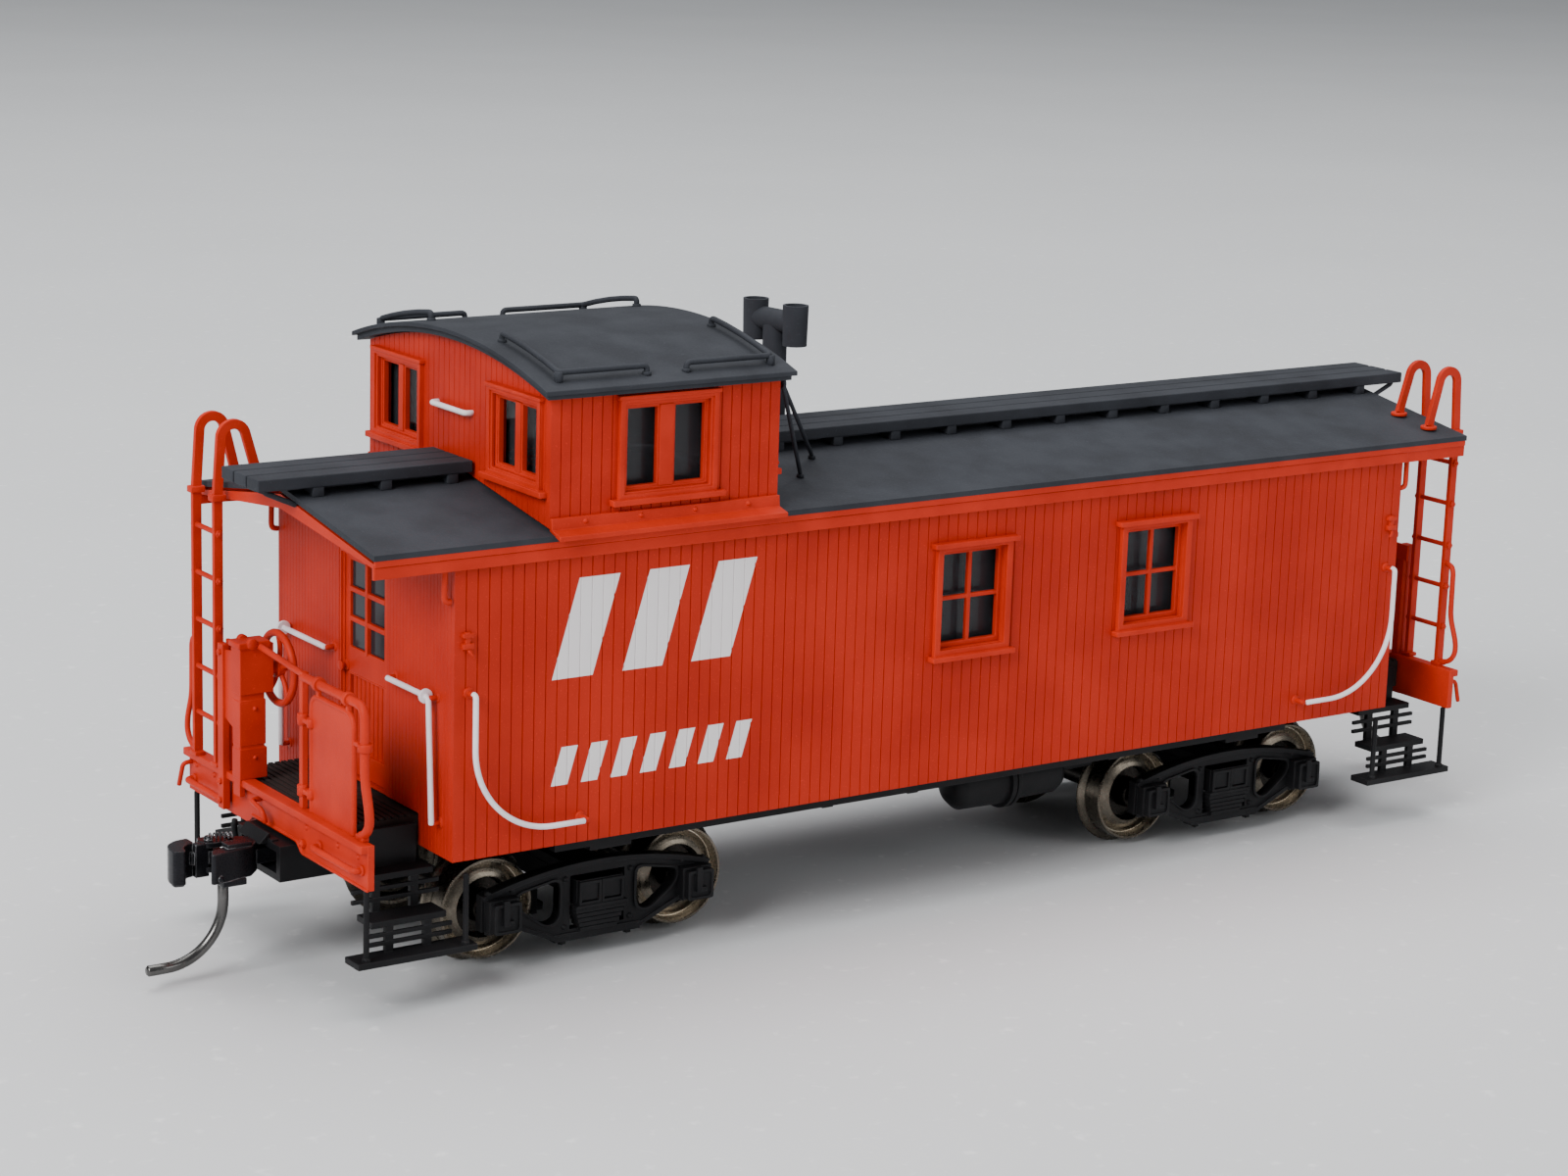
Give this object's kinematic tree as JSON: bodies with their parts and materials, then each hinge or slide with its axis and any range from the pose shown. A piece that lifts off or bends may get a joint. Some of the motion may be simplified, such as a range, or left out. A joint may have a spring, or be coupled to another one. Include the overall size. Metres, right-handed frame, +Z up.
{
  "type": "model railway caboose",
  "caption": "Model railway caboose: a wood-sheathed car with an offset cupola, open end platforms, swivelling trucks and knuckle couplers.",
  "frame": {"origin": "centre of the car between its couplers, on the plane that the wheel flanges rest on", "axes": "+X along the car from end A, which the cupola is nearer, to end B; +Z up; -Y is the near side"},
  "size_m": [0.1552, 0.0372, 0.0577],
  "materials": {
    "freight_red": "satin orange-red paint",
    "roof_black": "matt slate black paint",
    "deck_brown": "matt brown-black paint",
    "frame_black": "satin black",
    "grab_white": "white paint on wire",
    "wheel_nickel": "nickel plated, brown-grey",
    "coupler_black": "blackened casting",
    "glazing": "clear, smoky against the dark inside"
  },
  "bodies": {
    "car": {"body_shell": "freight_red", "brake_cylinder": "frame_black", "brake_stand_a": "freight_red", "brake_stand_b": "freight_red", "brake_wheel_a": "freight_red", "brake_wheel_b": "freight_red", "centre_sill": "frame_black", "cupola_brace_far": "roof_black", "cupola_brace_near": "roof_black", "cupola_glazing": "glazing", "cupola_rail_far_a": "roof_black", "cupola_rail_far_b": "roof_black", "cupola_rail_near_a": "roof_black", "cupola_rail_near_b": "roof_black", "cupola_roof": "roof_black", "cupola_shell": "freight_red", "door_a": "freight_red", "door_b": "freight_red", "draft_box_a": "frame_black", "draft_box_b": "frame_black", "eave_trim": "freight_red", "end_railing_a": "freight_red", "end_railing_b": "freight_red", "end_sill_a": "freight_red", "end_sill_b": "freight_red", "floor": "deck_brown", "glazing_far": "glazing", "glazing_near": "glazing", "ladder_a": "freight_red", "ladder_b": "freight_red", "main_roof": "roof_black", "roofwalk_long": "roof_black", "roofwalk_short": "roof_black", "side_grab_far_a": "grab_white", "side_grab_far_b": "grab_white", "side_grab_near_a": "grab_white", "side_grab_near_b": "grab_white", "smoke_jack": "roof_black", "step_far_a": "frame_black", "step_far_b": "frame_black", "step_near_a": "frame_black", "step_near_b": "frame_black", "window_far_1": "freight_red", "window_far_2": "freight_red", "window_near_1": "freight_red", "window_near_2": "freight_red"},
    "truck_a": {"truck_bolster_a": "frame_black", "sideframe_a_1": "frame_black", "sideframe_a_2": "frame_black"},
    "wheels_a_1": {"wheelset_a_1": "wheel_nickel"},
    "wheels_a_2": {"wheelset_a_2": "wheel_nickel"},
    "coupler_a_body": {"coupler_a": "coupler_black"},
    "knuckle_a_body": {"knuckle_a": "coupler_black"},
    "truck_b": {"truck_bolster_b": "frame_black", "sideframe_b_1": "frame_black", "sideframe_b_2": "frame_black"},
    "wheels_b_1": {"wheelset_b_1": "wheel_nickel"},
    "wheels_b_2": {"wheelset_b_2": "wheel_nickel"},
    "coupler_b_body": {"coupler_b": "coupler_black"},
    "knuckle_b_body": {"knuckle_b": "coupler_black"}
  },
  "joints": [
    {"name": "truck_a_swivel", "type": "hinge", "parent": "car", "child": "truck_a", "pos_m": [-0.0381, 0, 0.0098], "axis": [0, 0, 1], "range_deg": [-10, 10]},
    {"name": "wheels_a_1_spin", "type": "hinge", "parent": "truck_a", "child": "wheels_a_1", "pos_m": [-0.0484, 0, 0.0055], "axis": [0, 1, 0], "continuous": true},
    {"name": "wheels_a_2_spin", "type": "hinge", "parent": "truck_a", "child": "wheels_a_2", "pos_m": [-0.0278, 0, 0.0055], "axis": [0, 1, 0], "continuous": true},
    {"name": "coupler_a_swing", "type": "hinge", "parent": "car", "child": "coupler_a_body", "pos_m": [-0.0595, 0, 0.01075], "axis": [0, 0, 1], "range_deg": [-12, 12], "stiffness_Nm_per_rad": 0.0002},
    {"name": "knuckle_a_open", "type": "hinge", "parent": "coupler_a_body", "child": "knuckle_a_body", "pos_m": [-0.0704, 0.00155, 0.01075], "axis": [0, 0, -1], "range_deg": [0, 38], "stiffness_Nm_per_rad": 0.00005},
    {"name": "truck_b_swivel", "type": "hinge", "parent": "car", "child": "truck_b", "pos_m": [0.0381, 0, 0.0098], "axis": [0, 0, 1], "range_deg": [-10, 10]},
    {"name": "wheels_b_1_spin", "type": "hinge", "parent": "truck_b", "child": "wheels_b_1", "pos_m": [0.0484, 0, 0.0055], "axis": [0, 1, 0], "continuous": true},
    {"name": "wheels_b_2_spin", "type": "hinge", "parent": "truck_b", "child": "wheels_b_2", "pos_m": [0.0278, 0, 0.0055], "axis": [0, 1, 0], "continuous": true},
    {"name": "coupler_b_swing", "type": "hinge", "parent": "car", "child": "coupler_b_body", "pos_m": [0.0595, 0, 0.01075], "axis": [0, 0, 1], "range_deg": [-12, 12], "stiffness_Nm_per_rad": 0.0002},
    {"name": "knuckle_b_open", "type": "hinge", "parent": "coupler_b_body", "child": "knuckle_b_body", "pos_m": [0.0704, -0.00155, 0.01075], "axis": [0, 0, -1], "range_deg": [0, 38], "stiffness_Nm_per_rad": 0.00005}
  ]
}
